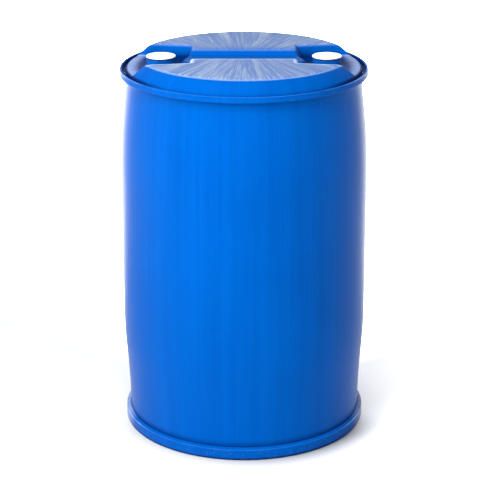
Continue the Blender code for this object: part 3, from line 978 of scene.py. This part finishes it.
# ------------------------------------------------------------------ the stage
def build_stage():
    rings = [0.02, 0.5, 1.0, 2.0, 4.0, 8.0, 16.0, 32.0, 60.0]
    rows = spin_rows([(r, -0.0002) for r in reversed(rings)], even_angles(96))
    v, f = rows_to_mesh(rows, False, end=(0, 0, -0.0002))
    n = Nodes("pale_floor")
    pos = n.tree.nodes.new("ShaderNodeTexCoord").outputs["Object"]
    tone = n.noise(pos, 0.7, 2.0, 0.5)
    colour = n.mix(tone, (0.700, 0.703, 0.708), (0.725, 0.728, 0.733))
    # a painted contact shadow round the foot, deeper on the side away from the key
    x, y, z = n.new("ShaderNodeSeparateXYZ", Vector=pos).outputs
    cx, cy = n.math("SUBTRACT", x, 0.014), n.math("SUBTRACT", y, 0.020)
    from_foot = n.math("SQRT", n.add(n.math("MULTIPLY", cx, cx), n.math("MULTIPLY", cy, cy)))
    contact_shadow = n.math("MULTIPLY", n.math("SUBTRACT", 1.0, n.ramp(from_foot, 0.272, 0.362)),
                     n.math("MULTIPLY", n.ramp(x, -0.26, 0.22, 0.60, 0.97),
                            n.ramp(y, -0.17, 0.0, 1.0, 0.05)))
    away = n.math("SQRT", n.add(n.math("MULTIPLY", x, x), n.math("MULTIPLY", y, y), 0.01))
    colour = n.mix(n.ramp(away, 0.80, 1.30), colour, (0.58, 0.583, 0.588))
    colour = n.mix(contact_shadow, colour, (0.10, 0.12, 0.15))
    material = n.finish(colour, 0.85, n.bump(n.noise(pos, 160.0, 2.0, 0.5), 0.0002, 0.2),
                        specular=0.1, tint=(1.0, 1.0, 1.0))
    # painted light: the floor glows, brighter behind the object, in a patch at the right back that
    # lightens the key's shadow, and far out; none in the painted contact shadow
    behind = n.ramp(n.math("DIVIDE", y, away), 0.64, 0.95)
    fx, fy = n.math("SUBTRACT", x, 0.68), n.math("SUBTRACT", y, 0.62)
    fill = n.math("SUBTRACT", 1.0, n.ramp(n.math("SQRT", n.add(
        n.math("MULTIPLY", fx, fx), n.math("MULTIPLY", fy, fy))), 0.40, 1.20))
    near = n.math("SUBTRACT", 1.0, n.ramp(away, 3.5, 6.5))
    glow = n.add(0.02, n.math("MULTIPLY", n.math("MULTIPLY", behind, near),
                              n.ramp(x, -1.0, 1.0, 5.5, 2.9)),
                 n.math("MULTIPLY", fill, 0.62), n.ramp(away, 1.0, 1.8, 0.0, 0.85))
    glow = n.math("MULTIPLY", glow, n.math("SUBTRACT", 1.0, contact_shadow))
    n.put(n.shader.inputs["Emission Color"], (1.0, 1.0, 1.0))
    n.put(n.shader.inputs["Emission Strength"], glow)
    floor = mesh_object("studio_floor", v, f, material)

    # the room: bright low down, darker above, darkest at the right front
    world = bpy.data.worlds.new("studio")
    bpy.context.scene.world = world
    world.use_nodes = True
    t = world.node_tree
    back = t.nodes["Background"]
    direction = t.nodes.new("ShaderNodeTexCoord").outputs["Generated"]
    sep = t.nodes.new("ShaderNodeSeparateXYZ")
    t.links.new(direction, sep.inputs[0])
    ramp = t.nodes.new("ShaderNodeValToRGB")
    ramp.color_ramp.elements[0].position = 0.0
    ramp.color_ramp.elements[0].color = (1.00, 1.00, 1.0, 1)
    ramp.color_ramp.elements[1].position = 0.75
    ramp.color_ramp.elements[1].color = (0.62, 0.63, 0.65, 1)
    t.links.new(sep.outputs[2], ramp.inputs[0])
    dot = t.nodes.new("ShaderNodeVectorMath")
    dot.operation = "DOT_PRODUCT"
    t.links.new(direction, dot.inputs[0])
    dot.inputs[1].default_value = (0.80, -0.60, 0.0)
    side = t.nodes.new("ShaderNodeMapRange")
    side.interpolation_type = "SMOOTHSTEP"
    t.links.new(dot.outputs["Value"], side.inputs["Value"])
    for socket, value in (("From Min", 0.10), ("From Max", 0.85),
                          ("To Min", 1.45), ("To Max", 1.00)):
        side.inputs[socket].default_value = value
    # flags at the back's two sides, the bright backdrop between them
    level = t.nodes.new("ShaderNodeCombineXYZ")
    t.links.new(sep.outputs[0], level.inputs[0])
    t.links.new(sep.outputs[1], level.inputs[1])
    unit = t.nodes.new("ShaderNodeVectorMath")
    unit.operation = "NORMALIZE"
    t.links.new(level.outputs[0], unit.inputs[0])
    facing = t.nodes.new("ShaderNodeSeparateXYZ")
    t.links.new(unit.outputs[0], facing.inputs[0])
    flag = t.nodes.new("ShaderNodeFloatCurve")
    curve = flag.mapping.curves[0]
    for k, (c, v) in enumerate(((0.0, 1.0), (0.30, 1.0), (0.52, 0.30), (0.84, 0.25),
                                (0.95, 0.50), (1.0, 0.50))):
        if k in (0, 1):
            curve.points[k].location = (c, v) if k == 0 else (1.0, 0.50)
        if 0 < k < 5:
            curve.points.new(c, v)
    flag.mapping.update()
    half = t.nodes.new("ShaderNodeMath")
    half.operation = "MULTIPLY_ADD"
    t.links.new(facing.outputs[1], half.inputs[0])
    half.inputs[1].default_value = 0.5
    half.inputs[2].default_value = 0.5
    t.links.new(half.outputs[0], flag.inputs["Value"])
    strength = t.nodes.new("ShaderNodeMath")
    strength.operation = "MULTIPLY"
    t.links.new(side.outputs["Result"], strength.inputs[0])
    t.links.new(flag.outputs[0], strength.inputs[1])
    t.links.new(ramp.outputs[0], back.inputs[0])
    t.links.new(strength.outputs[0], back.inputs[1])

    def lamp(name, place, aim, size, power, colour=(1, 1, 1)):
        data = bpy.data.lights.new(name, "AREA")
        data.shape = "RECTANGLE"
        data.size, data.size_y = size
        data.energy = power
        data.color = colour
        obj = bpy.data.objects.new(name, data)
        obj.location = place
        obj.rotation_euler = (Vector(aim) - Vector(place)).to_track_quat("-Z", "Y").to_euler()
        bpy.context.scene.collection.objects.link(obj)

    lamp("key", (-2.3, -2.7, 2.5), (0, 0, 0.40), (2.4, 2.4), 205)
    lamp("top", (-0.5, -1.6, 3.2), (0, 0, 0.80), (1.4, 0.8), 55)


def build_camera():
    focal_px, distance, height, tilt, x = 1781.3, 4.053, 1.864, 18.34, 0.0143
    data = bpy.data.cameras.new("camera")
    data.sensor_fit = "HORIZONTAL"
    data.sensor_width = 36.0
    data.lens = focal_px / 500.0 * 36.0
    data.shift_y = -0.08
    cam = bpy.data.objects.new("camera", data)
    cam.location = (x, -distance, height)
    cam.rotation_euler = (math.radians(90.0 - tilt), 0, 0)
    bpy.context.scene.collection.objects.link(cam)
    bpy.context.scene.camera = cam
    bpy.context.scene.view_settings.view_transform = "Standard"


build_camera()
build_stage()
build_shell(shell_material())
build_rings(ring_material("ring_hdpe"), ring_material("foot_ring_hdpe", low=True))
neck_blue = moulded_material("neck_hdpe")
plug_blue = moulded_material("plug_hdpe", 0.95)
rubber = rubber_material()
white = white_material()
for side in ("left", "right"):
    build_closure(side, neck_blue, plug_blue, rubber, white)
